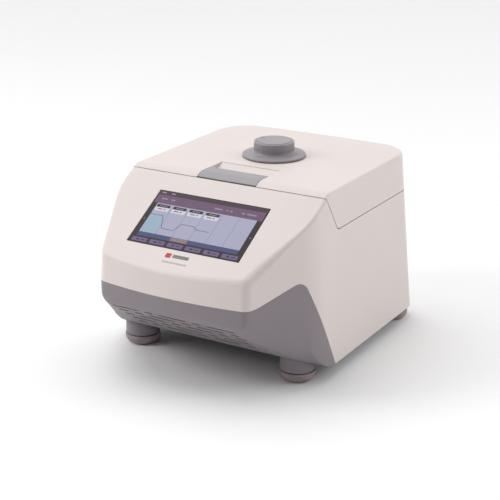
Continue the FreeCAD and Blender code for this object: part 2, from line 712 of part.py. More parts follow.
def make_screw():
    return rod(SCREW_R, vec(0, BLOCK_Y, SCREW_LOW_Z), vec(0, BLOCK_Y, KNOB_SEAT_Z))


def make_bush():
    barrel = rod(BUSH_R, vec(0, BLOCK_Y, 219.5), vec(0, BLOCK_Y, LID_CROWN_Z))
    flange = rod(13.0, vec(0, BLOCK_Y, 223.0), vec(0, BLOCK_Y, LID_CROWN_Z - WALL - 0.05))
    bore = rod(SCREW_R + RUNNING, vec(0, BLOCK_Y, 200.0), vec(0, BLOCK_Y, 240.0))
    return joined([barrel, flange]).cut(bore)


def make_heated_plate():
    return rounded_plate(HOT_PLATE_W, HOT_PLATE_L, 4.0, 0, BLOCK_Y,
                         PLATE_LOW_Z, PLATE_LOW_Z + HOT_PLATE_T)


def make_carrier():
    low = PLATE_LOW_Z + HOT_PLATE_T
    cover = rounded_plate(CARRIER_W, CARRIER_L, 6.0, 0, BLOCK_Y, low, low + CARRIER_T)
    nut = rod(NUT_R, vec(0, BLOCK_Y, low + CARRIER_T - 1.0), vec(0, BLOCK_Y, low + NUT_TOP))
    carrier = joined([cover, nut])
    carrier = carrier.cut(rod(SCREW_R + RUNNING, vec(0, BLOCK_Y, 190), vec(0, BLOCK_Y, 230)))
    for pin in guide_pin_places():
        carrier = carrier.cut(rod(GUIDE_R, pin, pin + vec(0, 0, 10.0)))
    return carrier


def guide_pin_places():
    return [vec(x, y, PLATE_LOW_Z + 8.0) for x in (-GUIDE_X, GUIDE_X)
            for y in (BLOCK_Y - GUIDE_Y, BLOCK_Y + GUIDE_Y)]


def make_guide_pins():
    return Part.makeCompound([rod(GUIDE_R, p, p + vec(0, 0, 19.0)) for p in guide_pin_places()])


# ---------------------------------------------------------------- hinges
def hinge_parts():
    """Right hinge: housing leaf, its pin, and the arm that carries the lid."""
    def barrel(x0, x1, bore):
        return tube(HINGE_BARREL_R, bore, vec(x0, HINGE_Y, HINGE_Z), vec(x1, HINGE_Y, HINGE_Z))

    leaf = block(HINGE_X - LEAF_HALF, HINGE_X + LEAF_HALF, 150.0, 180.0, DECK_Z, DECK_Z + LEAF_T)
    knuckle = ARM_HALF + 1.0
    for x0, x1 in ((HINGE_X - LEAF_HALF, HINGE_X - knuckle), (HINGE_X + knuckle, HINGE_X + LEAF_HALF)):
        upright = block(x0, x1, HINGE_Y - 3.2, HINGE_Y + 1.5, DECK_Z, HINGE_Z)
        upright = upright.cut(rod(HINGE_PIN_R, vec(x0, HINGE_Y, HINGE_Z), vec(x1, HINGE_Y, HINGE_Z)))
        leaf = leaf.fuse(upright).fuse(barrel(x0, x1, HINGE_PIN_R))
    for x in (HINGE_X - LEAF_SCREW_X, HINGE_X + LEAF_SCREW_X):
        leaf = leaf.cut(rod(THREAD_R, vec(x, LEAF_SCREW_Y, 160.0), vec(x, LEAF_SCREW_Y, 180.0)))
    arm = block(HINGE_X - ARM_HALF, HINGE_X + ARM_HALF, HINGE_Y + 0.6, REAR_WALL_Y, HINGE_Z, 214.0)
    arm = arm.fuse(barrel(HINGE_X - ARM_HALF, HINGE_X + ARM_HALF, HINGE_PIN_R + RUNNING))
    arm = arm.cut(rod(HINGE_PIN_R + RUNNING, vec(HINGE_X - 30, HINGE_Y, HINGE_Z),
                      vec(HINGE_X + 30, HINGE_Y, HINGE_Z)))
    pin = rod(HINGE_PIN_R, vec(HINGE_X - LEAF_HALF, HINGE_Y, HINGE_Z),
              vec(HINGE_X + LEAF_HALF, HINGE_Y, HINGE_Z))
    return leaf.removeSplitter(), pin, arm.removeSplitter()


def make_hinge_screws():
    screws = []
    seat = DECK_Z + LEAF_T
    for x in (-HINGE_X - LEAF_SCREW_X, -HINGE_X + LEAF_SCREW_X,
              HINGE_X - LEAF_SCREW_X, HINGE_X + LEAF_SCREW_X):
        foot_place = vec(x, LEAF_SCREW_Y, DECK_Z)
        head_place = vec(x, LEAF_SCREW_Y, seat)
        shank = rod(THREAD_R, foot_place, head_place)
        head = rod(3.0, head_place, head_place + vec(0, 0, 1.8))
        recess = rod(1.3, head_place + vec(0, 0, 0.8), head_place + vec(0, 0, 2.5))
        screws.append(joined([shank, head]).cut(recess))
    return Part.makeCompound(screws)


# ---------------------------------------------------------------- thermal stack
def make_sample_block():
    body = rounded_plate(BLOCK_W, BLOCK_L, 3.0, 0, BLOCK_Y, BLOCK_LOW_Z, BLOCK_TOP_Z)
    wells = []
    for i in range(WELLS_X):
        for j in range(WELLS_Y):
            x = (i - (WELLS_X - 1) / 2.0) * WELL_PITCH
            y = BLOCK_Y + (j - (WELLS_Y - 1) / 2.0) * WELL_PITCH
            wells.append(Part.makeCone(WELL_FOOT_R, WELL_TOP_R, WELL_DEPTH,
                                       vec(x, y, BLOCK_TOP_Z - WELL_DEPTH)))
    return body.cut(Part.makeCompound(wells))


def make_block_frame():
    rim = rounded_plate(FRAME_W, FRAME_L, 10.0, 0, BLOCK_Y, DECK_Z, FRAME_TOP_Z)
    rim = rim.makeFillet(2.0, [e for e in rim.Edges if e.BoundBox.ZMin > FRAME_TOP_Z - 0.5])
    skirt = rounded_plate(FRAME_SKIRT_W - 0.4, FRAME_SKIRT_L - 0.4, 4.8, 0, BLOCK_Y,
                          DECK_Z - WALL, DECK_Z)
    room = rounded_plate(BLOCK_W + 1.6, BLOCK_L + 1.6, 3.8, 0, BLOCK_Y, 160.0, 190.0)
    return joined([rim, skirt]).cut(room)


def make_peltiers():
    tiles = []
    half = TILE / 2.0
    for x in (-TILE_PITCH, 0.0, TILE_PITCH):
        for y in (BLOCK_Y - TILE_PITCH / 2.0, BLOCK_Y + TILE_PITCH / 2.0):
            tiles.append(block(x - half, x + half, y - half, y + half, DECK_Z - WALL, BLOCK_LOW_Z))
    return Part.makeCompound(tiles)


def make_heatsink():
    top = DECK_Z - WALL
    base = block(-FRAME_W / 2.0, FRAME_W / 2.0, BLOCK_Y - SINK_L / 2.0, BLOCK_Y + SINK_L / 2.0,
                 top - SINK_BASE, top)
    fins = []
    for i in range(FIN_COUNT):
        x = (i - (FIN_COUNT - 1) / 2.0) * FIN_PITCH
        fins.append(block(x - FIN_T / 2.0, x + FIN_T / 2.0, BLOCK_Y - FIN_L / 2.0,
                          BLOCK_Y + FIN_L / 2.0, FIN_LOW_Z, top - SINK_BASE))
    return base.multiFuse(fins).removeSplitter()


def make_duct():
    half = DUCT_HALF - SHEET
    duct = block(-DUCT_HALF, DUCT_HALF, DUCT_FRONT_Y, FAN_FRONT_Y, DUCT_LOW_Z, DUCT_TOP_Z)
    room = block(-half, half, 0.0, FAR, DUCT_LOW_Z + SHEET, DUCT_TOP_Z - SHEET)
    top_hole = block(-half, half, 0.0, 118.0, 150.0, 170.0)
    return duct.cut(room).cut(top_hole)


def fan_frame(x):
    rear = REAR_PANEL_Y
    half = FAN_SIZE / 2.0
    frame = front_prism([(x - half, FAN_Z - half, 4), (x + half, FAN_Z - half, 4),
                         (x + half, FAN_Z + half, 4), (x - half, FAN_Z + half, 4)],
                        FAN_FRONT_Y, rear)
    frame = frame.cut(rod(half - 1.5, vec(x, 160, FAN_Z), vec(x, 200, FAN_Z)))
    hub = rod(FAN_HUB_R + 1.0, vec(x, rear - 3.0, FAN_Z), vec(x, rear, FAN_Z))
    arm = block(x - half + 1.0, x + half - 1.0, rear - 2.5, rear, FAN_Z - 1.5, FAN_Z + 1.5)
    cross = arm.copy()
    cross.rotate(vec(x, 0, FAN_Z), vec(0, 1, 0), 90)
    frame = joined([frame, hub, arm, cross])
    frame = frame.cut(rod(THREAD_R + RUNNING, vec(x, 170, FAN_Z), vec(x, 200, FAN_Z)))
    for place in fan_screw_places(x):
        frame = frame.cut(rod(THREAD_R, place - vec(0, 40, 0), place))
    return frame


def fan_rotor(x):
    hub = rod(FAN_HUB_R, vec(x, FAN_FRONT_Y + 1.0, FAN_Z), vec(x, FAN_FRONT_Y + 11.5, FAN_Z))
    shaft = rod(THREAD_R, vec(x, FAN_FRONT_Y + 11.0, FAN_Z), vec(x, REAR_PANEL_Y - 0.5, FAN_Z))
    blades = []
    for i in range(FAN_BLADES):
        blade = block(FAN_HUB_R - 1.5, FAN_TIP_R, -0.6, 0.6, -5.5, 5.5)
        blade.rotate(vec(0, 0, 0), vec(1, 0, 0), BLADE_PITCH)
        blade.translate(vec(x, FAN_FRONT_Y + 6.3, FAN_Z))
        blade.rotate(vec(x, 0, FAN_Z), vec(0, 1, 0), 360.0 * i / FAN_BLADES)
        blades.append(blade)
    return joined([hub, shaft] + blades)


def fan_screw_places(x):
    return [vec(x + dx, REAR_WALL_Y, FAN_Z + dz) for dx in (-FAN_HOLE, FAN_HOLE)
            for dz in (-FAN_HOLE, FAN_HOLE)]


def make_fan_screws():
    screws = []
    for place in fan_screw_places(-FAN_X) + fan_screw_places(FAN_X):
        head = rod(2.9, place, place + vec(0, 1.8, 0))
        shank = rod(THREAD_R, place - vec(0, 14, 0), place)
        recess = rod(1.2, place + vec(0, 0.9, 0), place + vec(0, 3, 0))
        screws.append(joined([head, shank]).cut(recess))
    return Part.makeCompound(screws)


# ---------------------------------------------------------------- rear panel
def make_rear_panel():
    edge = REAR_HOLE_X + 6.0
    panel = front_prism([(-edge, 28, 4), (edge, 28, 4), (edge, 168, 4), (-edge, 168, 4)],
                        REAR_PANEL_Y, REAR_WALL_Y)
    tools = []
    for x in (-FAN_X, FAN_X):
        for i in range(-3, 4):
            z = FAN_Z + GRILLE_PITCH * i
            half = math.sqrt(GRILLE_R ** 2 - (GRILLE_PITCH * i) ** 2)
            tools.append(front_prism([(x - half, z - 2, 1.9), (x + half, z - 2, 1.9),
                                      (x + half, z + 2, 1.9), (x - half, z + 2, 1.9)],
                                     180.0, 200.0))
        tools += [rod(THREAD_R, p - vec(0, 10, 0), p + vec(0, 2, 0)) for p in fan_screw_places(x)]
    tools.append(block(INLET_X - 22, INLET_X + 22, 180, 200, INLET_Z - 28, INLET_Z + 28))
    tools.append(block(USB_X - 7.2, USB_X + 7.2, 180, 200, USB_Z - 3.5, USB_Z + 3.5))
    for x in range(-10, 90, 12):
        if abs(x - USB_X) > 16:
            tools.append(front_prism([(x - 2, 44, 1.9), (x + 2, 44, 1.9),
                                      (x + 2, 82, 1.9), (x - 2, 82, 1.9)], 180.0, 200.0))
    return panel.cut(Part.makeCompound(tools))


def make_inlet():
    flange = front_prism([(INLET_X - 25, INLET_Z - 31, 4), (INLET_X + 25, INLET_Z - 31, 4),
                          (INLET_X + 25, INLET_Z + 31, 4), (INLET_X - 25, INLET_Z + 31, 4)],
                         REAR_WALL_Y, REAR_WALL_Y + 2.0)
    body = block(INLET_X - 21.8, INLET_X + 21.8, 160.0, REAR_WALL_Y,
                 INLET_Z - 27.8, INLET_Z + 27.8)
    socket = front_prism([(INLET_X - 12.3, SOCKET_Z - 8.5, 5), (INLET_X + 12.3, SOCKET_Z - 8.5, 5),
                          (INLET_X + 12.3, SOCKET_Z + 8.5, 1.5),
                          (INLET_X - 12.3, SOCKET_Z + 8.5, 1.5)], 172.0, 200.0)
    drawer_hole = block(INLET_X - 12.5, INLET_X + 12.5, 164.5, 200.0,
                        DRAWER_Z - 4.5, DRAWER_Z + 4.5)
    rocker_hole = block(INLET_X - 10.3, INLET_X + 10.3, 172.0, 200.0,
                        ROCKER_Z - 8.5, ROCKER_Z + 8.5)
    inlet = joined([flange, body]).cut(socket).cut(drawer_hole).cut(rocker_hole)
    for x, z in inlet_pin_places():
        inlet = inlet.cut(block(x - 1, x + 1, 165, 175, z - 2, z + 2))
    return inlet


def inlet_pin_places():
    return [(INLET_X - 7.0, SOCKET_Z - 1.5), (INLET_X + 7.0, SOCKET_Z - 1.5),
            (INLET_X, SOCKET_Z + 3.0)]


def make_inlet_pins():
    return Part.makeCompound([block(x - 1, x + 1, 165.0, 183.0, z - 2, z + 2)
                              for x, z in inlet_pin_places()])


def make_fuse_drawer():
    drawer = block(INLET_X - 12.2, INLET_X + 12.2, 165.0, 188.6,
                   DRAWER_Z - 4.2, DRAWER_Z + 4.2)
    lip = block(INLET_X - 5, INLET_X + 5, 188.0, 189.8, DRAWER_Z + 2.0, DRAWER_Z + 4.0)
    trays = [block(x - 2.8, x + 2.8, 166.0, 186.8, DRAWER_Z - 2.4, DRAWER_Z + 5.0)
             for x in fuse_places()]
    return joined([drawer, lip]).cut(Part.makeCompound(trays))


def fuse_places():
    return (INLET_X - 6.0, INLET_X + 6.0)


def make_fuses():
    return Part.makeCompound([rod(2.4, vec(x, 166.2, DRAWER_Z), vec(x, 186.4, DRAWER_Z))
                              for x in fuse_places()])


def make_rocker():
    rocker = side_prism([(ROCKER_Y - 4, ROCKER_Z - 5, 1), (ROCKER_Y + 6.2, ROCKER_Z - 7.2, 0.8),
                         (ROCKER_Y + 4.4, ROCKER_Z, 20), (ROCKER_Y + 6.2, ROCKER_Z + 7.2, 0.8),
                         (ROCKER_Y - 4, ROCKER_Z + 5, 1)], INLET_X - 9.6, INLET_X + 9.6)
    rocker = rocker.cut(rod(ROCKER_PIN_R + RUNNING, vec(INLET_X - 20, ROCKER_Y, ROCKER_Z),
                            vec(INLET_X + 20, ROCKER_Y, ROCKER_Z)))
    rocker.rotate(vec(0, ROCKER_Y, ROCKER_Z), vec(1, 0, 0), -ROCKER_TILT)
    return rocker


def make_rocker_pin():
    return rod(ROCKER_PIN_R, vec(INLET_X - 10.3, ROCKER_Y, ROCKER_Z),
               vec(INLET_X + 10.3, ROCKER_Y, ROCKER_Z))


def make_usb_port():
    shell = block(USB_X - 7.0, USB_X + 7.0, 172.0, 188.0, USB_Z - 3.3, USB_Z + 3.3)
    room = block(USB_X - 6.3, USB_X + 6.3, 174.0, 200.0, USB_Z - 2.6, USB_Z + 2.6)
    tongue = block(USB_X - 5.5, USB_X + 5.5, 173.0, 186.0, USB_Z + 0.2, USB_Z + 2.0)
    return joined([shell.cut(room), tongue])


# ---------------------------------------------------------------- electronics
def make_display_glass():
    return on_panel(rounded_plate(DISPLAY_W, DISPLAY_L, 0.6, 0, 0, -2.0, 0.15))


def make_display_module():
    return on_panel(joined([rounded_plate(165.0, 100.0, 2.0, 0, 0, -8.5, -WALL),
                            rounded_plate(150.0, 82.0, 1.0, 0, 0, -WALL, -2.0)]))


def make_display_bracket():
    sheet = rounded_plate(175.0, 104.0, 4.0, 0, 0, -10.0, -8.5)
    return on_panel(sheet.cut(rounded_plate(130.0, 66.0, 4.0, 0, 0, -12.0, -5.0)))


def make_main_board():
    return block(-90, 90, -55, 62, BOARD_Z, BOARD_Z + BOARD_T)


def make_board_parts():
    top = BOARD_Z + BOARD_T
    chips = [block(x, x + w, y, y + w, top, top + h)
             for x, y, w, h in ((-70, -40, 14, 2.5), (-30, -42, 22, 3), (20, -40, 12, 2.5),
                                (50, 10, 16, 9), (-80, 20, 16, 9))]
    caps = [rod(6.0, vec(x, 38, top), vec(x, 38, top + 18)) for x in (-50, -30, -10, 10, 30)]
    return Part.makeCompound(chips + caps)


def make_standoffs():
    low = PLATE_Z + SHEET
    return Part.makeCompound([rod(3.5, vec(x, y, low), vec(x, y, BOARD_Z))
                              for x in (-84, 84) for y in (-40, 56)])


def make_power_supply():
    case = block(-70, 30, 28, 152, PLATE_Z + SHEET, 60.0)
    slots = [rounded_plate(3.0, 30.0, 1.4, x, 90.0, 57.0, 64.0) for x in range(-60, 25, 8)]
    return case.cut(Part.makeCompound(slots))


# ---------------------------------------------------------------- feet and base screws
def foot(x, y, seat_z):
    return turned([(0, 0), (15.6, 0), (20.6, 4.0, FOOT_R, 11.6), (22.0, 12.5, 21.3, 12.8),
                   (18.6, 12.8), (18.6, seat_z), (0, seat_z)], x, y)


def make_base_screws():
    screws = []
    for x, y in ((-100, -30), (100, -30), (-100, 120), (100, 120), (0, 170), (0, -30)):
        screws.append(turned([(1.3, 13.9), (3.4, 13.9), (3.9, 14.1, 4.2, PLATE_Z), (0, PLATE_Z),
                              (0, PLATE_Z - 0.6), (1.3, PLATE_Z - 0.6)], x, y))
    return Part.makeCompound(screws)


# ---------------------------------------------------------------- assembly
def build():
    form = soften(plan_form(0.0).common(top_cap(0.0)))
    lower = form.cut(seam_zone(0.0, SEAM_Z, SEAM_CORNER_R))
    upper = form.common(seam_zone(SEAM_GAP, SEAM_Z + SEAM_GAP, SEAM_CORNER_R))
    space = hollow()
    leaf, pin, arm = hinge_parts()
    nodes = {
        "main_housing": make_housing(lower, space),
        "base_tray": make_base(lower, space),
        "bottom_plate": make_bottom_plate(),
        "lid_cover": make_lid(upper),
        "lid_liner": make_liner(),
        "lid_latch": make_latch(form),
        "latch_pin": make_latch_pin(),
        "latch_spring": make_latch_spring(),
        "latch_striker": make_striker(),
        "pressure_knob": make_knob(),
        "knob_cap": make_knob_cap(),
        "lead_screw": make_screw(),
        "knob_bush": make_bush(),
        "heated_plate": make_heated_plate(),
        "plate_carrier": make_carrier(),
        "guide_pins": make_guide_pins(),
        "hinge_leaf_right": leaf,
        "hinge_leaf_left": mirrored(leaf),
        "hinge_pin_right": pin,
        "hinge_pin_left": mirrored(pin),
        "hinge_arm_right": arm,
        "hinge_arm_left": mirrored(arm),
        "hinge_screws": make_hinge_screws(),
        "sample_block": make_sample_block(),
        "block_frame": make_block_frame(),
        "peltier_modules": make_peltiers(),
        "heatsink": make_heatsink(),
        "air_duct": make_duct(),
        "fan_frame_right": fan_frame(FAN_X),
        "fan_frame_left": fan_frame(-FAN_X),
        "fan_rotor_right": fan_rotor(FAN_X),
        "fan_rotor_left": fan_rotor(-FAN_X),
        "fan_screws": make_fan_screws(),
        "rear_panel": make_rear_panel(),
        "power_inlet": make_inlet(),
        "inlet_pins": make_inlet_pins(),
        "fuse_drawer": make_fuse_drawer(),
        "fuses": make_fuses(),
        "power_rocker": make_rocker(),
        "rocker_pin": make_rocker_pin(),
        "usb_port": make_usb_port(),
        "display_glass": make_display_glass(),
        "display_module": make_display_module(),
        "display_bracket": make_display_bracket(),
        "main_board": make_main_board(),
        "board_parts": make_board_parts(),
        "board_standoffs": make_standoffs(),
        "power_supply": make_power_supply(),
        "foot_front_right": foot(LEG_X, LEG_Y, LEG_FOOT_Z),
        "foot_front_left": foot(-LEG_X, LEG_Y, LEG_FOOT_Z),
        "foot_rear_right": foot(REAR_FOOT_X, REAR_FOOT_Y, PLATE_Z),
        "foot_rear_left": foot(-REAR_FOOT_X, REAR_FOOT_Y, PLATE_Z),
        "base_screws": make_base_screws(),
    }
    os.makedirs("parts", exist_ok=True)
    for name, shape in nodes.items():
        print(f"{name}: {shape.Volume / 1000.0:.1f} cm3, {len(shape.Solids)} solid(s), "
              f"valid {shape.isValid()}")
        shape.exportStep(f"parts/{name}.step")


if __name__ == "__main__":
    build()
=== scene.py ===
"""Looks of the bench thermal cycler: a finish for each CAD node, the display and the studio."""

import math

import bmesh
import bpy
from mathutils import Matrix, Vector


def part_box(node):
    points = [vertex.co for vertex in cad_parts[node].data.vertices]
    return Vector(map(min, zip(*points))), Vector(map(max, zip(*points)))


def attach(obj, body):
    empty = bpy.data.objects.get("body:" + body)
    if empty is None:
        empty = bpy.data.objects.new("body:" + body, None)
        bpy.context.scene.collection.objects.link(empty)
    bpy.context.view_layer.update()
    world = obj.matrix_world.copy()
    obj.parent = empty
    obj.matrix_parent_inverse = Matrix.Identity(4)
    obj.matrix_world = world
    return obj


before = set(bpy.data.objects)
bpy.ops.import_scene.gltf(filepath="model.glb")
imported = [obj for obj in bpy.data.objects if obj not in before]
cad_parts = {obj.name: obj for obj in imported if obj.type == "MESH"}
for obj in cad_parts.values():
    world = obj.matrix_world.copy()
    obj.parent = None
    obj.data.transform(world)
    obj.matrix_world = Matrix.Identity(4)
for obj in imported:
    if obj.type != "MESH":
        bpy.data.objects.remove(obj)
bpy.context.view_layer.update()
MM = 0.001

# ---------------------------------------------------------------- colours, as sRGB out of 255
OFF_WHITE = (226, 216, 213)
MAUVE_GREY = (139, 131, 136)
KNOB_GREY = (154, 149, 154)
LATCH_GREY = (158, 155, 158)
RUBBER = (160, 146, 149)
NEAR_BLACK = (38, 37, 39)
GLASS_BLACK = (30, 14, 22)
BADGE_RED = (190, 44, 52)
BADGE_GREY = (122, 116, 118)
BADGE_PALE = (186, 180, 180)
TICK_WHITE = (214, 212, 210)
ALUMINIUM = (205, 206, 208)
STEEL = (182, 182, 184)
PANEL_GREY = (176, 171, 171)
BRASS = (214, 178, 98)
CERAMIC_WHITE = (236, 236, 230)
BOARD_GREEN = (36, 92, 56)

# ---------------------------------------------------------------- shared by the shaders
EDGE_SAMPLES = 6                    # rays of the bevel and ambient occlusion nodes
GLASS_SPECULAR = 0.22
SMEAR_STRETCH = (1.0, 0.45, 1.0)    # finger marks run up and down the display


def linear(colour, gain=1.0):
    """sRGB out of 255 as the scene-linear RGBA that shader sockets take."""
    out = []
    for value in colour:
        part = value / 255.0
        part = part / 12.92 if part <= 0.04045 else ((part + 0.055) / 1.055) ** 2.4
        out.append(min(1.0, part * gain))
    return (*out, 1.0)


class Finish:
    """One procedural material: a Principled shader and calls for the textures that feed it."""

    def __init__(self, name):
        self.material = bpy.data.materials.new(name)
        self.material.use_nodes = True
        self.tree = self.material.node_tree
        self.shader = self.tree.nodes["Principled BSDF"]
        self.place = self.node("ShaderNodeTexCoord").outputs["Object"]

    def node(self, kind, **settings):
        made = self.tree.nodes.new(kind)
        for key, value in settings.items():
            setattr(made, key, value)
        return made

    def plug(self, value, socket):
        """Links an output to a socket, or sets the socket where value is a number or colour."""
        if isinstance(value, bpy.types.NodeSocket):
            self.tree.links.new(value, socket)
        else:
            socket.default_value = value

    def set(self, **values):
        """Feeds the shader: base_color=..., roughness=... and so on."""
        for key, value in values.items():
            self.plug(value, self.shader.inputs[key.replace("_", " ").title()])

    def noise(self, period, detail=2.0, stretch=(1.0, 1.0, 1.0)):
        """Noise from 0 to 1, its features about period metres across, longer along low stretch."""
        mapping = self.node("ShaderNodeMapping")
        mapping.inputs["Scale"].default_value = stretch
        self.tree.links.new(self.place, mapping.inputs["Vector"])
        made = self.node("ShaderNodeTexNoise")
        made.inputs["Scale"].default_value = 1.0 / period
        made.inputs["Detail"].default_value = detail
        self.tree.links.new(mapping.outputs["Vector"], made.inputs["Vector"])
        return made.outputs["Fac"]

    def remap(self, value, low, high, to_low=0.0, to_high=1.0):
        """Carries low to high onto to_low to to_high, clamped at both ends."""
        made = self.node("ShaderNodeMapRange")
        self.plug(value, made.inputs["Value"])
        made.inputs["From Min"].default_value = low
        made.inputs["From Max"].default_value = high
        made.inputs["To Min"].default_value = to_low
        made.inputs["To Max"].default_value = to_high
        return made.outputs["Result"]

    def mix(self, factor, first, second):
        """A colour between first, where factor is 0, and second, where it is 1."""
        made = self.node("ShaderNodeMix", data_type="RGBA")
        self.plug(factor, made.inputs["Factor"])
        self.plug(first, made.inputs["A"])
        self.plug(second, made.inputs["B"])
        return made.outputs["Result"]

    def combine(self, operation, first, second):
        """Two values through one maths node."""
        made = self.node("ShaderNodeMath", operation=operation)
        self.plug(first, made.inputs[0])
        self.plug(second, made.inputs[1])
        return made.outputs[0]

    def rounded(self, radius):
        """A normal that rounds the mesh's edges off by this radius, and a mask of those edges."""
        bevel = self.node("ShaderNodeBevel", samples=EDGE_SAMPLES)
        bevel.inputs["Radius"].default_value = radius
        flat = self.node("ShaderNodeNewGeometry").outputs["Normal"]
        dot = self.node("ShaderNodeVectorMath", operation="DOT_PRODUCT")
        self.tree.links.new(bevel.outputs["Normal"], dot.inputs[0])
        self.tree.links.new(flat, dot.inputs[1])
        return bevel.outputs["Normal"], self.remap(dot.outputs["Value"], 0.995, 0.90)

    def crevice(self, distance):
        """1 in grooves and inner corners, 0 on open faces, from ambient occlusion; it marks where
        shade is painted.
        """
        made = self.node("ShaderNodeAmbientOcclusion", samples=EDGE_SAMPLES)
        made.inputs["Distance"].default_value = distance
        return self.remap(made.outputs["AO"], 0.9, 0.35)

    def smears(self, cleanest):
        """Roughness of touched glass, from this value up."""
        return self.remap(self.noise(9 * MM, 5.0, SMEAR_STRETCH), 0.45, 0.75, cleanest, 0.16)

    def bump(self, height, depth, strength, normal=None):
        """A normal tilted by the slope of height, where 1 stands depth metres proud."""
        made = self.node("ShaderNodeBump")
        made.inputs["Strength"].default_value = strength
        made.inputs["Distance"].default_value = depth
        self.tree.links.new(height, made.inputs["Height"])
        if normal is not None:
            self.tree.links.new(normal, made.inputs["Normal"])
        return made.outputs["Normal"]


def moulded(name, colour, roughness, grain, worn, edge, gap=3.0, painted_shade=0.35, shade=0.4):
    """Injection-moulded plastic: spark-eroded grain, faint mottling, polished edges, shade painted
    into gaps.

    grain, edge and gap are in millimetres: the grain's depth, the edges' radius and the reach of
    the shade painted into gaps. worn says how strongly edges show, the weight after gap how
    strongly the painted shade darkens gaps, and shade how bright a gap stays.
    """
    finish = Finish(name)
    normal, edges = finish.rounded(edge * MM)
    mottle = finish.noise(90 * MM, 3.0)
    base = finish.mix(mottle, linear(colour, 0.955), linear(colour, 1.03))
    base = finish.mix(finish.combine("MULTIPLY", edges, worn), base, linear(colour, 1.16))
    # painted shade: colour darkened where ambient occlusion finds a gap
    painted_gap_shade = finish.combine("MULTIPLY", finish.crevice(gap * MM), painted_shade)
    base = finish.mix(painted_gap_shade, base, linear(colour, shade))
    patches = finish.remap(finish.noise(22 * MM, 4.0), 0.3, 0.7,
                           roughness - 0.06, roughness + 0.06)
    rough = finish.combine("SUBTRACT", patches, finish.combine("MULTIPLY", edges, 0.12))
    fine = finish.noise(0.55 * MM, 3.0)
    finish.set(base_color=base, roughness=rough,
               normal=finish.bump(fine, grain * MM, 0.5, normal))
    finish.shader.inputs["Specular IOR Level"].default_value = 0.45
    return finish.material


def rubber(name, colour):
    """Matt rubber with a powdery bloom."""
    finish = Finish(name)
    normal, edges = finish.rounded(0.5 * MM)
    bloom = finish.remap(finish.noise(6 * MM, 5.0), 0.35, 0.75)
    base = finish.mix(bloom, linear(colour, 0.85), linear(colour, 1.12))
    base = finish.mix(finish.combine("MULTIPLY", edges, 0.4), base, linear(colour, 1.4))
    pores = finish.noise(0.3 * MM, 3.0)
    finish.set(base_color=base, roughness=finish.remap(bloom, 0, 1, 0.72, 0.9),
               normal=finish.bump(pores, 0.05 * MM, 0.5, normal))
    finish.shader.inputs["Specular IOR Level"].default_value = 0.3
    return finish.material


def metal(name, colour, roughness, grain_axis=None):
    """Bare metal, brushed along grain_axis (0, 1 or 2), or with an even grain where it is None."""
    finish = Finish(name)
    normal, edges = finish.rounded(0.3 * MM)
    stretch = [1.0, 1.0, 1.0]
    if grain_axis is not None:
        stretch[grain_axis] = 0.02
    lines = finish.noise(0.25 * MM, 3.0, stretch)
    cloud = finish.noise(18 * MM, 3.0)
    base = finish.mix(cloud, linear(colour, 0.88), linear(colour, 1.06))
    base = finish.mix(finish.combine("MULTIPLY", edges, 0.3), base, linear(colour, 1.3))
    # painted shade: colour darkened where ambient occlusion finds a gap
    painted_gap_shade = finish.combine("MULTIPLY", finish.crevice(2 * MM), 0.4)
    base = finish.mix(painted_gap_shade, base, linear(colour, 0.35))
    finish.set(base_color=base,
               roughness=finish.remap(lines, 0.25, 0.75, roughness - 0.08, roughness + 0.1),
               normal=finish.bump(lines, 0.02 * MM, 0.6, normal))
    finish.shader.inputs["Metallic"].default_value = 1.0
    return finish.material


def powder_coat(name, colour):
    """Powder-coated sheet steel: orange peel with a few rubbed edges."""
    finish = Finish(name)
    normal, edges = finish.rounded(0.4 * MM)
    peel = finish.noise(1.1 * MM, 2.0)
    base = finish.mix(finish.noise(60 * MM, 3.0), linear(colour, 0.93), linear(colour, 1.04))
    base = finish.mix(finish.combine("MULTIPLY", edges, 0.35), base, linear(colour, 1.3))
    # painted shade: colour darkened where ambient occlusion finds a gap
    painted_gap_shade = finish.combine("MULTIPLY", finish.crevice(3 * MM), 0.35)
    base = finish.mix(painted_gap_shade, base, linear(colour, 0.4))
    finish.set(base_color=base, roughness=finish.remap(peel, 0.3, 0.7, 0.38, 0.5),
               normal=finish.bump(peel, 0.06 * MM, 0.6, normal))
    return finish.material


def cover_glass(name, colour):
    """Black-printed cover glass with faint finger marks and a highlight painted along its edges."""
    finish = Finish(name)
    normal, edges = finish.rounded(0.25 * MM)
    smears = finish.smears(0.05)
    # painted highlight: colour lightened along the glass's edges
    base = finish.mix(edges, linear(colour), linear(colour, 1.8))
    finish.set(base_color=base, roughness=smears, normal=normal)
    finish.shader.inputs["Specular IOR Level"].default_value = GLASS_SPECULAR
    return finish.material


def solder_mask(name, colour):
    """Circuit board: green mask over a raster of copper tracks."""
    finish = Finish(name)
    tracks = finish.node("ShaderNodeTexBrick")
    tracks.inputs["Scale"].default_value = 160.0
    tracks.inputs["Mortar Size"].default_value = 0.06
    finish.tree.links.new(finish.place, tracks.inputs["Vector"])
    base = finish.mix(tracks.outputs["Fac"], linear(colour), linear(colour, 1.7))
    finish.set(base_color=base, roughness=finish.remap(finish.noise(2 * MM), 0.3, 0.7, 0.28, 0.4),
               normal=finish.bump(tracks.outputs["Fac"], 0.03 * MM, 0.7))
    return finish.material


def ceramic(name, colour):
    """Unglazed white ceramic with fine specks."""
    finish = Finish(name)
    normal, edges = finish.rounded(0.2 * MM)
    specks = finish.remap(finish.noise(0.8 * MM, 4.0), 0.6, 0.72)
    base = finish.mix(finish.combine("MULTIPLY", specks, 0.25), linear(colour), linear(colour, 0.7))
    finish.set(base_color=base, roughness=finish.remap(specks, 0, 1, 0.5, 0.62),
               normal=finish.bump(specks, 0.02 * MM, 0.5, normal))
    return finish.material


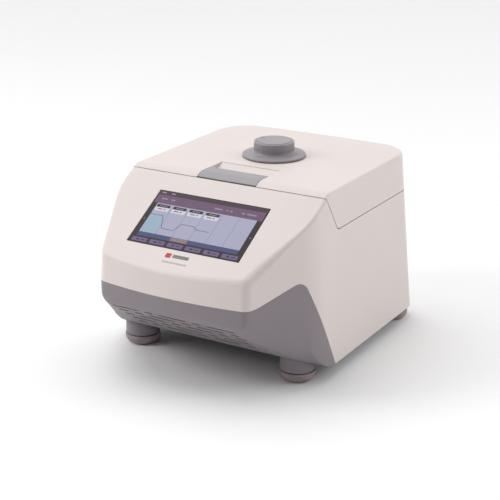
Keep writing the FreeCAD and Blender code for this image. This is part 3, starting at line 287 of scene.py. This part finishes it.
def clear_glass(name):
    """Clear glass tube with a slight haze."""
    finish = Finish(name)
    haze = finish.noise(3 * MM, 3.0)
    finish.set(base_color=finish.mix(haze, (0.86, 0.9, 0.92, 1.0), (0.95, 0.97, 0.98, 1.0)),
               roughness=finish.remap(haze, 0.3, 0.7, 0.02, 0.09))
    finish.shader.inputs["Transmission Weight"].default_value = 0.9
    return finish.material


def lit(name, colour, unevenness):
    """A lit part of the display: the panel's pixel raster glows under glossy cover glass."""
    finish = Finish(name)
    pixels = finish.node("ShaderNodeTexBrick")
    pixels.inputs["Scale"].default_value = 1900.0
    pixels.inputs["Mortar Size"].default_value = 0.035
    finish.tree.links.new(finish.place, pixels.inputs["Vector"])
    drift = finish.noise(45 * MM, 2.0)
    even = finish.mix(drift, linear(colour, 0.96 - unevenness), linear(colour, 1.04 + unevenness))
    glow = finish.mix(pixels.outputs["Fac"], even, linear(colour, 0.8))
    smears = finish.smears(0.06)
    finish.set(base_color=linear(NEAR_BLACK, 0.4), emission_color=glow, roughness=smears)
    finish.shader.inputs["Emission Strength"].default_value = 1.0
    finish.shader.inputs["Specular IOR Level"].default_value = GLASS_SPECULAR
    return finish.material


def printed(name, colour):
    """Pad-printed ink on moulded plastic."""
    finish = Finish(name)
    thin = finish.remap(finish.noise(1.2 * MM, 4.0), 0.3, 0.7)
    finish.set(base_color=finish.mix(thin, linear(colour, 0.93), linear(colour, 1.07)),
               roughness=finish.remap(thin, 0, 1, 0.4, 0.55),
               normal=finish.bump(finish.noise(0.4 * MM), 0.02 * MM, 0.4))
    return finish.material


# The last weights of each moulded finish paint shade into its gaps: vent slots, knob ribs, the
# latch's outline.
FINISHES = {
    "white_plastic": moulded("white_plastic_fine", OFF_WHITE, 0.47, 0.035, 0.25, 0.5, shade=0.3),
    "grey_plastic": moulded("grey_plastic_fine", MAUVE_GREY, 0.5, 0.05, 0.3, 0.5,
                            gap=8.0, painted_shade=0.9, shade=0.08),
    "knob_plastic": moulded("knob_plastic_fine", KNOB_GREY, 0.4, 0.025, 0.3, 0.35,
                            gap=2.2, painted_shade=0.8, shade=0.3),
    "latch_plastic": moulded("latch_plastic_fine", LATCH_GREY, 0.4, 0.025, 0.3, 0.4,
                             gap=1.6, painted_shade=0.9, shade=0.15),
    "foot_rubber": rubber("foot_rubber_fine", RUBBER),
    "display_glass": cover_glass("display_glass_fine", GLASS_BLACK),
    "black_plastic": moulded("black_plastic_fine", NEAR_BLACK, 0.5, 0.04, 0.5, 0.3),
    "aluminium": metal("aluminium_fine", ALUMINIUM, 0.32),
    "steel": metal("steel_fine", STEEL, 0.3, 0),
    "panel_steel": powder_coat("panel_steel_fine", PANEL_GREY),
    "brass": metal("brass_fine", BRASS, 0.28),
    "ceramic": ceramic("ceramic_fine", CERAMIC_WHITE),
    "board": solder_mask("board_fine", BOARD_GREEN),
    "fuse_glass": clear_glass("fuse_glass_fine"),
}

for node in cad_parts.values():
    for entry in node.material_slots:
        entry.material = FINISHES[entry.material.name]


# ---------------------------------------------------------------- flat pieces on a face
CORNER_STEPS = 5                            # straight parts in a rounded corner
PRINT_BASE, PRINT_TOP = -0.05 * MM, 0.03 * MM       # heights of printed marks about their face


class Face:
    """A flat face: its middle, the directions to its right and up, and its outward normal."""

    def __init__(self, middle, right, up):
        self.middle = Vector(middle)
        self.right = Vector(right).normalized()
        self.up = Vector(up).normalized()
        self.out = self.right.cross(self.up)

    def point(self, across, along, lift):
        """Place on the face, lift metres above it."""
        return self.middle + self.right * across + self.up * along + self.out * lift


def rounded_outline(width, height, radius):
    """Outline of a rounded rectangle about its middle, anticlockwise."""
    points = []
    for quarter, (side, end) in enumerate(((1, 1), (-1, 1), (-1, -1), (1, -1))):
        for step in range(CORNER_STEPS + 1):
            angle = math.radians(90 * quarter + 90 * step / CORNER_STEPS)
            points.append((side * (width / 2 - radius) + radius * math.cos(angle),
                           end * (height / 2 - radius) + radius * math.sin(angle)))
    return points


def ribbon(points, width):
    """Left and right edges of a band of this width along a run of points, with mitred bends."""
    left, right = [], []
    for i, (x, y) in enumerate(points):
        before = points[max(i - 1, 0)]
        after = points[min(i + 1, len(points) - 1)]
        first = Vector((x - before[0], y - before[1]))
        second = Vector((after[0] - x, after[1] - y))
        first = first if first.length else second
        second = second if second.length else first
        first.normalize()
        second.normalize()
        across = Vector((-(first.y + second.y), first.x + second.x)).normalized()
        reach = width / 2 / max(0.35, across.dot(Vector((-second.y, second.x))))
        left.append((x + across.x * reach, y + across.y * reach))
        right.append((x - across.x * reach, y - across.y * reach))
    return left, right


def finish_mesh(name, mesh, material, body):
    """Makes a mesh into a piece that rides on a body and fills a slot."""
    piece = bpy.data.objects.new(name, mesh)
    bpy.context.scene.collection.objects.link(piece)
    mesh.materials.append(material)
    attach(piece, body)


def plates(name, face, outlines, base, top, material, body):
    """One piece made of thin closed plates, each standing from base to top above the face."""
    mesh = bpy.data.meshes.new(name)
    shape = bmesh.new()
    for outline in outlines:
        low = [shape.verts.new(face.point(x, y, base)) for x, y in outline]
        high = [shape.verts.new(face.point(x, y, top)) for x, y in outline]
        shape.faces.new(list(reversed(low)))
        shape.faces.new(high)
        for i, vertex in enumerate(low):
            j = (i + 1) % len(low)
            shape.faces.new((vertex, low[j], high[j], high[i]))
    bmesh.ops.recalc_face_normals(shape, faces=shape.faces)
    shape.to_mesh(mesh)
    shape.free()
    finish_mesh(name, mesh, material, body)


def band(name, face, points, width, base, top, material, body):
    """A thin closed strip along a run of points."""
    left, right = ribbon(points, width)
    mesh = bpy.data.meshes.new(name)
    shape = bmesh.new()
    rails = [[shape.verts.new(face.point(x, y, lift)) for x, y in side]
             for side, lift in ((left, base), (right, base), (right, top), (left, top))]
    for i in range(len(points) - 1):
        for k in range(4):
            one, two = rails[k], rails[(k + 1) % 4]
            shape.faces.new((one[i], one[i + 1], two[i + 1], two[i]))
    for i in (0, len(points) - 1):
        shape.faces.new([rail[i] for rail in rails])
    bmesh.ops.recalc_face_normals(shape, faces=shape.faces)
    shape.to_mesh(mesh)
    shape.free()
    finish_mesh(name, mesh, material, body)


# ---------------------------------------------------------------- display interface
PANEL_SLOPE = math.radians(30.6)
GLASS_THICKNESS = 2.15 * MM
GLASS_PROUD = 0.15 * MM         # the glass stands this far out of the housing's panel
SCREEN_LAYER = 0.012 * MM       # each layer of the interface stands this far above the one below

# Colour and unevenness of each lit part.
SCREEN = {
    "title": ((56, 30, 46), 0.0),
    "header": ((100, 72, 102), 0.06),
    "chart": ((166, 166, 192), 0.03),
    "glow": ((150, 174, 194), 0.0),
    "rule": ((118, 116, 140), 0.0),
    "trace": ((88, 76, 94), 0.0),
    "bar": ((58, 66, 116), 0.0),
    "active": ((138, 118, 112), 0.0),
    "button": ((104, 86, 130), 0.06),
    "ink": ((20, 14, 26), 0.0),
    "paper": ((208, 206, 214), 0.0),
    "mark": ((150, 132, 156), 0.0),
}

glass_low, glass_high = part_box("display_glass")
glass_span = glass_high - glass_low
SCREEN_W = glass_span.x
SCREEN_L = (glass_span.y - GLASS_THICKNESS * math.sin(PANEL_SLOPE)) / math.cos(PANEL_SLOPE)
slope_up = Vector((0, math.cos(PANEL_SLOPE), math.sin(PANEL_SLOPE)))
glass = Face((glass_low + glass_high) / 2, (1, 0, 0), slope_up)
glass.middle += glass.out * (GLASS_THICKNESS / 2)


def on_screen(across, down):
    """Screen place from fractions of its width and height, counted from the top left."""
    return ((across - 0.5) * SCREEN_W, (0.5 - down) * SCREEN_L)


def screen_box(left, top, right, bottom, radius=0.0):
    """Outline of a box on the screen, from fractions of its width and height."""
    x0, y0 = on_screen(left, bottom)
    x1, y1 = on_screen(right, top)
    if not radius:
        return [(x0, y0), (x1, y0), (x1, y1), (x0, y1)]
    cx, cy = (x0 + x1) / 2, (y0 + y1) / 2
    return [(cx + x, cy + y) for x, y in rounded_outline(x1 - x0, y1 - y0, radius)]


def screen_plates(name, outlines, layer, part):
    """Plates on one layer of the interface, lit as this part of it."""
    plates(name, glass, outlines, (layer - 1) * SCREEN_LAYER, layer * SCREEN_LAYER,
           LIT[part], "housing")


def screen_band(name, points, width, layer, part):
    """A strip from the glass up to this layer, lit as this part of the interface."""
    band(name, glass, points, width, 0, layer * SCREEN_LAYER, LIT[part], "housing")


# Places on the screen are fractions of its width and height, from the top left.
TITLE_TOP, HEADER_TOP = 0.012, 0.085
HEADER_INSET = 0.012
CHART_LEFT, CHART_RIGHT = 0.05, 0.95
CHART_TOP, CHART_FOOT = 0.245, 0.80
COLUMNS = 6
COLUMN = (CHART_RIGHT - CHART_LEFT) / COLUMNS
BAR_FOOT = 0.875
HIGH, LOW, MIDDLE, END = 0.46, 0.685, 0.55, 0.60      # levels of the temperature steps
RULE_WIDTH, TRACE_WIDTH = 0.45 * MM, 0.7 * MM

TAGS = 4
TAG_INSET, TAG_WIDTH = 0.006, 0.128
TAG_TOP, TAG_FOOT = 0.26, 0.385

# Plain bars that stand where a screen has words: left end, right end and middle.
WORDS = ((0.03, 0.07, 0.042), (0.12, 0.155, 0.042), (0.06, 0.115, 0.155), (0.15, 0.185, 0.155),
         (0.55, 0.62, 0.165), (0.655, 0.672, 0.165), (0.69, 0.71, 0.165),
         (0.79, 0.82, 0.165), (0.84, 0.92, 0.165))
WORD_HALF = 0.012

KEYS = 6
KEY_START, KEY_PITCH, KEY_WIDTH = 0.03, 0.1615, 0.137
KEY_TOP, KEY_FOOT = 0.902, 0.975
KEY_ICON = 0.052                                      # middle of the icon, in from the key's left

ARROW_SIDE, ARROW_DOWN = 0.021, 0.56                  # page arrows, in from each side
ARROW_HALF_WIDTH, ARROW_HALF_HEIGHT = 0.9 * MM, 1.3 * MM


def column_left(number):
    """Left side of a column of the chart, counted from 0."""
    return CHART_LEFT + COLUMN * number


def build_chart():
    """Title, header, chart with its progress bar, column rules and temperature trace."""
    screen_plates("ui_title", [screen_box(0.0, TITLE_TOP, 1.0, HEADER_TOP)], 1, "title")
    screen_plates("ui_header", [screen_box(HEADER_INSET, HEADER_TOP, 1 - HEADER_INSET, CHART_TOP)],
                  1, "header")
    screen_plates("ui_chart", [screen_box(CHART_LEFT, CHART_TOP, CHART_RIGHT, CHART_FOOT)],
                  1, "chart")
    screen_plates("ui_bar", [screen_box(CHART_LEFT, CHART_FOOT, CHART_RIGHT, BAR_FOOT)], 1, "bar")
    screen_plates("ui_bar_active", [screen_box(column_left(2), CHART_FOOT + 0.004,
                                               column_left(3), BAR_FOOT - 0.004)], 2, "active")
    screen_plates("ui_step_fill", [screen_box(CHART_LEFT, HIGH, column_left(1), CHART_FOOT)],
                  2, "glow")

    for number in range(1, COLUMNS):
        points = [on_screen(column_left(number), CHART_TOP),
                  on_screen(column_left(number), CHART_FOOT)]
        screen_band(f"ui_rule_{number}", points, RULE_WIDTH, 3, "rule")

    steps = ((column_left(0), HIGH), (column_left(0.78), HIGH), (column_left(1.12), LOW),
             (column_left(1.84), LOW), (column_left(2.1), MIDDLE), (column_left(2.84), MIDDLE),
             (column_left(3.08), END), (column_left(3.82), END))
    screen_band("ui_trace", [on_screen(*step) for step in steps], TRACE_WIDTH, 4, "trace")


def build_tags():
    """A pale tag with a dark head at the top of each programmed step."""
    for number in range(TAGS):
        left = column_left(number) + TAG_INSET
        right = left + TAG_WIDTH
        screen_plates(f"ui_tag_{number + 1}",
                      [screen_box(left, TAG_TOP, right, TAG_FOOT, 1.6 * MM)], 5, "paper")
        screen_plates(f"ui_tag_head_{number + 1}",
                      [screen_box(left + 0.002, 0.262, right - 0.002, 0.315, 1.2 * MM)], 6, "ink")
        screen_plates(f"ui_tag_line_{number + 1}",
                      [screen_box(left + 0.03, 0.283, right - 0.03, 0.295)], 7, "mark")
        screen_plates(f"ui_tag_value_{number + 1}",
                      [screen_box(left + 0.026, 0.34, left + 0.068, 0.356),
                       screen_box(left + 0.08, 0.34, left + 0.096, 0.356)], 7, "trace")


def build_keys():
    """Word bars of the title and header, soft keys with plain icons, and the page arrows."""
    words = [screen_box(left, middle - WORD_HALF, right, middle + WORD_HALF, 0.4 * MM)
             for left, right, middle in WORDS]
    screen_plates("ui_words", words, 2, "mark")

    for number in range(KEYS):
        left = KEY_START + KEY_PITCH * number
        key = screen_box(left, KEY_TOP, left + KEY_WIDTH, KEY_FOOT, 1.0 * MM)
        screen_plates(f"ui_button_{number + 1}", [key], 1, "button")
        middle = left + KEY_ICON
        icon = [screen_box(middle - 0.012, 0.925, middle + 0.012, 0.953, 0.5 * MM),
                screen_box(middle + 0.028, 0.932, middle + 0.062, 0.945)]
        screen_plates(f"ui_icon_{number + 1}", icon, 2, "ink")

    for number, (side, turn) in enumerate(((ARROW_SIDE, -1), (1 - ARROW_SIDE, 1)), 1):
        x, y = on_screen(side, ARROW_DOWN)
        arrow = [(x - turn * ARROW_HALF_WIDTH, y - ARROW_HALF_HEIGHT),
                 (x + turn * ARROW_HALF_WIDTH, y),
                 (x - turn * ARROW_HALF_WIDTH, y + ARROW_HALF_HEIGHT)]
        screen_plates(f"ui_page_arrow_{number}", [arrow], 1, "mark")


# ---------------------------------------------------------------- printed marks
# Name, colour, place of the middle from the display's middle, width, height and corner, in mm.
BADGE = (("badge_tile", BADGE_RED, -12.6, -52.6, 7.6, 7.0, 1.4),
         ("badge_bar", BADGE_GREY, 4.4, -52.4, 22.0, 5.0, 0.9),
         ("badge_rule", BADGE_PALE, 0.6, -62.4, 34.0, 2.6, 0.6))

WELL_COLUMNS, WELL_ROWS = 12, 8
WELL_PITCH = 9 * MM
TICK = (0.8 * MM, 4.0 * MM)     # width and length of a tick on the block's frame
TICK_CORNER = 0.2 * MM
TICK_GAP = 6.0 * MM             # middle of the ticks, out from the block's edge


def build_badge():
    """A plain badge under the display, without lettering: red tile, grey bar and pale rule."""
    panel = Face(glass.middle - glass.out * GLASS_PROUD, glass.right, glass.up)
    for name, colour, across, along, width, height, radius in BADGE:
        outline = [(across * MM + x, along * MM + y)
                   for x, y in rounded_outline(width * MM, height * MM, radius * MM)]
        plates(name, panel, [outline], PRINT_BASE, PRINT_TOP, printed(name, colour),
               "housing")


def build_frame_ticks():
    """Printed ticks round the block's frame, one for each column and row of wells."""
    low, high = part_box("block_frame")
    block_low, block_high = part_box("sample_block")
    middle = (low + high) / 2
    top = Face((middle.x, middle.y, high.z), (1, 0, 0), (0, 1, 0))
    edge_y = (block_high.y - block_low.y) / 2 + TICK_GAP
    edge_x = (block_high.x - block_low.x) / 2 + TICK_GAP
    outlines = []
    upright = rounded_outline(*TICK, TICK_CORNER)
    for column in range(WELL_COLUMNS):
        across = (column - (WELL_COLUMNS - 1) / 2) * WELL_PITCH
        outlines += [[(across + x, side * edge_y + y) for x, y in upright] for side in (-1, 1)]
    lying = rounded_outline(*reversed(TICK), TICK_CORNER)
    for row in range(WELL_ROWS):
        along = (row - (WELL_ROWS - 1) / 2) * WELL_PITCH
        outlines += [[(side * edge_x + x, along + y) for x, y in lying] for side in (-1, 1)]
    plates("frame_ticks", top, outlines, PRINT_BASE, PRINT_TOP, printed("tick_ink", TICK_WHITE),
           "housing")


LIT = {part: lit(f"screen_{part}", colour, unevenness)
       for part, (colour, unevenness) in SCREEN.items()}
build_chart()
build_tags()
build_keys()
build_badge()
build_frame_ticks()


# ---------------------------------------------------------------- studio
FLOOR_RADIUS = 50.0                     # far enough out that no low view sees its edge
DARK_SIDE = (0.42, -0.88, 0.2)          # direction in which the surroundings are darkest
DARKEST = 0.08                          # brightness there, against 1 elsewhere
SURROUNDINGS = 0.9                      # strength of the surroundings where they are brightest
SUN_POWER, SUN_SPREAD = 0.8, math.radians(50)
SUN_DIRECTION = (0.35, -0.1, -1.0)
LIGHT_TARGET = (0, 0, 0.12)

# The camera fitted to the photo's edges, its lens and sensor in mm.
CAMERA_LENS, CAMERA_SENSOR = 95.77, 36.0
CAMERA_PLACE = (0.8127, -1.3716, 0.6800)
CAMERA_TARGET = (0.0270, -0.0446, 0.1378)


def build_floor():
    """Pale studio floor, a wide disc with a faint texture."""
    mesh = bpy.data.meshes.new("studio_floor")
    shape = bmesh.new()
    bmesh.ops.create_circle(shape, cap_ends=True, segments=96, radius=FLOOR_RADIUS)
    shape.to_mesh(mesh)
    shape.free()
    floor = bpy.data.objects.new("studio_floor", mesh)
    bpy.context.scene.collection.objects.link(floor)
    finish = Finish("studio_floor")
    cloud = finish.noise(1.5, 3.0)
    finish.set(base_color=finish.mix(cloud, (0.93, 0.93, 0.93, 1.0), (0.95, 0.95, 0.95, 1.0)),
               roughness=finish.remap(cloud, 0.3, 0.7, 0.75, 0.85))
    finish.shader.inputs["Specular IOR Level"].default_value = 0.1
    mesh.materials.append(finish.material)


def soft_box(name, place, side, power):
    """A square area light of this side in metres and power in watts, turned to the cycler."""
    light = bpy.data.lights.new(name, "AREA")
    light.shape = "SQUARE"
    light.size = side
    light.energy = power
    lamp = bpy.data.objects.new(name, light)
    bpy.context.scene.collection.objects.link(lamp)
    lamp.location = place
    aim = Vector(LIGHT_TARGET) - Vector(place)
    lamp.rotation_euler = aim.to_track_quat("-Z", "Y").to_euler()


def build_studio():
    """White surroundings, darker to the front right, with a soft sun, a key and a rim light."""
    world = bpy.data.worlds.new("studio")
    bpy.context.scene.world = world
    world.use_nodes = True
    tree = world.node_tree
    background = tree.nodes["Background"]
    place = tree.nodes.new("ShaderNodeTexCoord")
    toward = tree.nodes.new("ShaderNodeVectorMath")
    toward.operation = "DOT_PRODUCT"
    toward.inputs[1].default_value = DARK_SIDE
    shade = tree.nodes.new("ShaderNodeMapRange")
    shade.interpolation_type = "SMOOTHSTEP"
    shade.inputs["From Min"].default_value = 0.15
    shade.inputs["From Max"].default_value = 0.85
    shade.inputs["To Min"].default_value = 1.0
    shade.inputs["To Max"].default_value = DARKEST
    tree.links.new(place.outputs["Generated"], toward.inputs[0])
    tree.links.new(toward.outputs["Value"], shade.inputs["Value"])
    tree.links.new(shade.outputs["Result"], background.inputs["Color"])
    background.inputs["Strength"].default_value = SURROUNDINGS
    bpy.context.scene.view_settings.view_transform = "Standard"

    sun = bpy.data.lights.new("soft_sun", "SUN")
    sun.energy = SUN_POWER
    sun.angle = SUN_SPREAD
    lamp = bpy.data.objects.new("soft_sun", sun)
    bpy.context.scene.collection.objects.link(lamp)
    lamp.rotation_euler = Vector(SUN_DIRECTION).to_track_quat("-Z", "Y").to_euler()
    soft_box("key_light", (-1.6, -1.2, 1.4), 0.9, 18)
    soft_box("rim_light", (1.9, 0.9, 1.3), 1.0, 8)


def build_camera():
    """A camera in the place of the photo's."""
    data = bpy.data.cameras.new("camera")
    data.lens = CAMERA_LENS
    data.sensor_width = CAMERA_SENSOR
    camera = bpy.data.objects.new("camera", data)
    bpy.context.scene.collection.objects.link(camera)
    camera.location = CAMERA_PLACE
    aim = Vector(CAMERA_TARGET) - camera.location
    camera.rotation_euler = aim.to_track_quat("-Z", "Y").to_euler()
    bpy.context.scene.camera = camera


build_floor()
build_studio()
build_camera()
